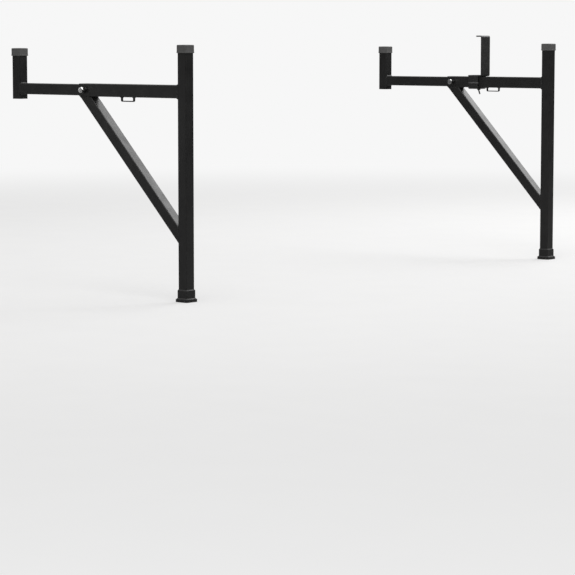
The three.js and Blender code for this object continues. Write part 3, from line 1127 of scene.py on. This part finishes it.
def floor_look():
    """Pale matt floor that fades into the backdrop; clear from below, and darker to glossy surfaces."""
    material = bpy.data.materials.new("pale_floor")
    material.use_nodes = True
    tree = material.node_tree
    tree.nodes.clear()
    place = add_node(tree, "ShaderNodeTexCoord").outputs["Object"]
    away = add_node(tree, "ShaderNodeVectorMath", {0: place}, operation="LENGTH").outputs["Value"]
    reach = {"Value": away, "From Min": FLOOR_FADE[0], "From Max": FLOOR_FADE[1]}
    fade = add_node(tree, "ShaderNodeMapRange", reach, interpolation_type="SMOOTHSTEP").outputs["Result"]
    ray = add_node(tree, "ShaderNodeLightPath").outputs
    mottled = mixed(tree, noise(tree, place, 6, 4.0), grey(0.76, 0.004), grey(0.80, 0.004))
    seen = mixed(tree, ray["Is Glossy Ray"], mottled, grey(0.25))
    matt = add_node(tree, "ShaderNodeBsdfDiffuse", {"Color": seen}).outputs["BSDF"]
    clear = add_node(tree, "ShaderNodeBsdfTransparent").outputs["BSDF"]
    paper = add_node(tree, "ShaderNodeEmission", {"Color": grey(PAPER), "Strength": 1.0}).outputs["Emission"]
    beyond = blended(tree, ray["Is Camera Ray"], clear, paper)
    faded = blended(tree, fade, matt, beyond)
    lift = maths(tree, "MULTIPLY", ray["Is Camera Ray"], FLOOR_LIFT)
    above = blended(tree, lift, faded, paper)
    below = add_node(tree, "ShaderNodeNewGeometry").outputs["Backfacing"]
    surface = blended(tree, below, above, clear)
    add_node(tree, "ShaderNodeOutputMaterial", {"Surface": surface})
    return material


def floor():
    """Round floor at the height of the bed rail, where the posts go down into their pockets."""
    pad_lowest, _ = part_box("rear_rail_pad")
    centre = (cad_box[0] + cad_box[1]) / 2
    shell = bmesh.new()
    bmesh.ops.create_circle(shell, cap_ends=True, segments=FLOOR_SIDES, radius=FLOOR_RADIUS)
    ground = plain_object("floor", shell)
    ground.location = (centre.x, centre.y, pad_lowest.z)
    ground.data.materials.append(floor_look())


def backdrop():
    """Pale backdrop for the camera; everything else sees a soft sky over a dark studio."""
    world = bpy.data.worlds.new("studio")
    bpy.context.scene.world = world
    world.use_nodes = True
    tree = world.node_tree
    tree.nodes.clear()
    direction = add_node(tree, "ShaderNodeTexCoord").outputs["Generated"]
    height = add_node(tree, "ShaderNodeSeparateXYZ", {"Vector": direction}).outputs["Z"]
    spread = ranged(tree, height, -1.0, 1.0, 0.0, 1.0)
    ramp = add_node(tree, "ShaderNodeValToRGB", {"Fac": spread})
    levels = ramp.color_ramp.elements
    while len(levels) < len(SKY):
        levels.new(0.5)
    for level, (place, brightness) in zip(levels, SKY):
        level.position = place
        level.color = grey(brightness)
    sky = add_node(tree, "ShaderNodeBackground", {"Color": ramp.outputs["Color"], "Strength": 1.0}).outputs[0]
    paper = add_node(tree, "ShaderNodeBackground", {"Color": grey(PAPER), "Strength": 1.0}).outputs[0]
    seen = add_node(tree, "ShaderNodeLightPath").outputs["Is Camera Ray"]
    add_node(tree, "ShaderNodeOutputWorld", {"Surface": blended(tree, seen, sky, paper)})


def softbox(name, target, direction, distance, size, power):
    """Square area light that faces a target."""
    data = bpy.data.lights.new(name, "AREA")
    data.shape = "SQUARE"
    data.size = size
    data.energy = power
    lamp = bpy.data.objects.new(name, data)
    away = Vector(direction).normalized()
    lamp.location = target + away * distance
    lamp.rotation_euler = away.to_track_quat("Z", "Y").to_euler()
    lamp.visible_camera = False
    bpy.context.scene.collection.objects.link(lamp)


def stage():
    camera()
    floor()
    backdrop()
    centre = (cad_box[0] + cad_box[1]) / 2
    rear_bolt, _ = middle("rear_lock_bolt")
    softbox("far_softbox", centre, *FAR_SOFTBOX)
    softbox("top_softbox", centre, *TOP_SOFTBOX)
    softbox("side_softbox", rear_bolt, *SIDE_SOFTBOX)
    bpy.context.scene.view_settings.view_transform = "Standard"


dice = random.Random(SEED)
for side in ("rear", "front"):
    upright(side, dice)
    sliding_arm(side, dice)
    lock_bolt(side)
ladder_stop(dice)
stage()
